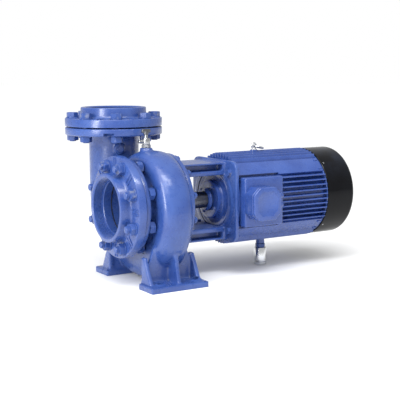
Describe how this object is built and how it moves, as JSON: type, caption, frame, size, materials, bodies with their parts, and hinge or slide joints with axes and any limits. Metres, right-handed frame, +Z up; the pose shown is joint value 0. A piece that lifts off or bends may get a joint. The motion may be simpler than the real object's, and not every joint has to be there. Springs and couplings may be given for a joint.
{
  "type": "centrifugal water pump",
  "caption": "Close-coupled end-suction centrifugal water pump: volute casing with bolted companion flanges, open lantern bracket, finned motor, fan cowl and support jack.",
  "frame": {"origin": "centre of the bounding box's footprint, on the plane of the two feet's soles", "axes": "+X along the shaft from the suction flange to the fan cowl, +Z up along the discharge, +Y towards the discharge side; the terminal box faces -Y"},
  "size_m": [0.8066, 0.5084, 0.4845],
  "materials": {
    "blue_paint": "semi-gloss enamel on cast iron",
    "black_paint": "gloss enamel on sheet steel",
    "zinc_steel": "zinc plated, partly painted over",
    "chrome_plate": "bright plate",
    "machined_steel": "turned and ground",
    "bronze": "cast bronze",
    "winding_copper": "varnished copper wire",
    "gasket_fibre": "compressed fibre sheet",
    "seal_carbon": "lapped carbon",
    "fan_plastic": "moulded nylon"
  },
  "bodies": {
    "pump": {"volute_casing": "blue_paint", "suction_companion_flange": "blue_paint", "discharge_companion_flange": "blue_paint", "suction_gasket": "gasket_fibre", "discharge_gasket": "gasket_fibre", "suction_bolt_1": "zinc_steel", "discharge_bolt_1": "zinc_steel", "suction_bolt_2": "zinc_steel", "discharge_bolt_2": "zinc_steel", "suction_bolt_3": "zinc_steel", "discharge_bolt_3": "zinc_steel", "suction_bolt_4": "zinc_steel", "discharge_bolt_4": "zinc_steel", "suction_bolt_5": "zinc_steel", "discharge_bolt_5": "zinc_steel", "suction_bolt_6": "zinc_steel", "discharge_bolt_6": "zinc_steel", "suction_bolt_7": "zinc_steel", "discharge_bolt_7": "zinc_steel", "suction_bolt_8": "zinc_steel", "discharge_bolt_8": "zinc_steel", "lantern_bracket": "blue_paint", "casing_gasket": "gasket_fibre", "casing_wear_ring": "bronze", "seal_seat": "seal_carbon", "gland_plate": "blue_paint", "gland_stud_1": "zinc_steel", "gland_stud_2": "zinc_steel", "drive_bearing_outer": "machined_steel", "fan_bearing_outer": "machined_steel", "drive_endshield": "blue_paint", "stator_frame": "blue_paint", "stator_core": "machined_steel", "winding_head_drive": "winding_copper", "winding_head_fan": "winding_copper", "fan_endshield": "black_paint", "fan_cowl": "black_paint", "terminal_box": "blue_paint", "terminal_cover": "blue_paint", "cable_gland_1": "blue_paint", "cable_gland_2": "blue_paint", "lifting_eye": "zinc_steel", "air_cock_body": "chrome_plate", "gauge_plug": "blue_paint", "drain_plug": "blue_paint", "jack_collar": "zinc_steel"},
    "rotor": {"shaft": "machined_steel", "impeller": "bronze", "impeller_nut": "machined_steel", "seal_rotor": "machined_steel", "shaft_slinger": "blue_paint", "drive_bearing_inner": "machined_steel", "fan_bearing_inner": "machined_steel", "rotor_core": "machined_steel", "cooling_fan": "fan_plastic"},
    "drive_cage": {"drive_bearing_balls": "machined_steel"},
    "fan_cage": {"fan_bearing_balls": "machined_steel"},
    "lifting_ring": {"lifting_ring": "zinc_steel"},
    "air_cock_lever": {"air_cock_lever": "chrome_plate"},
    "jack_foot": {"jack_foot": "chrome_plate"}
  },
  "joints": [
    {"name": "rotor_spin", "type": "hinge", "parent": "pump", "child": "rotor", "pos_m": [-0.26875, -0.06825, 0.215], "axis": [1, 0, 0], "continuous": true},
    {"name": "drive_cage_spin", "type": "hinge", "parent": "pump", "child": "drive_cage", "pos_m": [-0.26875, -0.06825, 0.215], "axis": [1, 0, 0], "continuous": true},
    {"name": "fan_cage_spin", "type": "hinge", "parent": "pump", "child": "fan_cage", "pos_m": [-0.26875, -0.06825, 0.215], "axis": [1, 0, 0], "continuous": true},
    {"name": "lifting_ring_swing", "type": "hinge", "parent": "pump", "child": "lifting_ring", "pos_m": [0.11725, -0.06825, 0.3645], "axis": [0, 1, 0], "range_deg": [-148, 0]},
    {"name": "air_cock_turn", "type": "hinge", "parent": "pump", "child": "air_cock_lever", "pos_m": [-0.24675, -0.06225, 0.42], "axis": [0, 0, 1], "range_deg": [0, 90]},
    {"name": "jack_screw", "type": "slide", "parent": "pump", "child": "jack_foot", "axis": [0, 0, 1], "range_m": [-0.012, 0]}
  ],
  "couplings": [
    {"joint": "drive_cage_spin", "follows": "rotor_spin", "ratio": 0.4083},
    {"joint": "fan_cage_spin", "follows": "rotor_spin", "ratio": 0.4217}
  ]
}
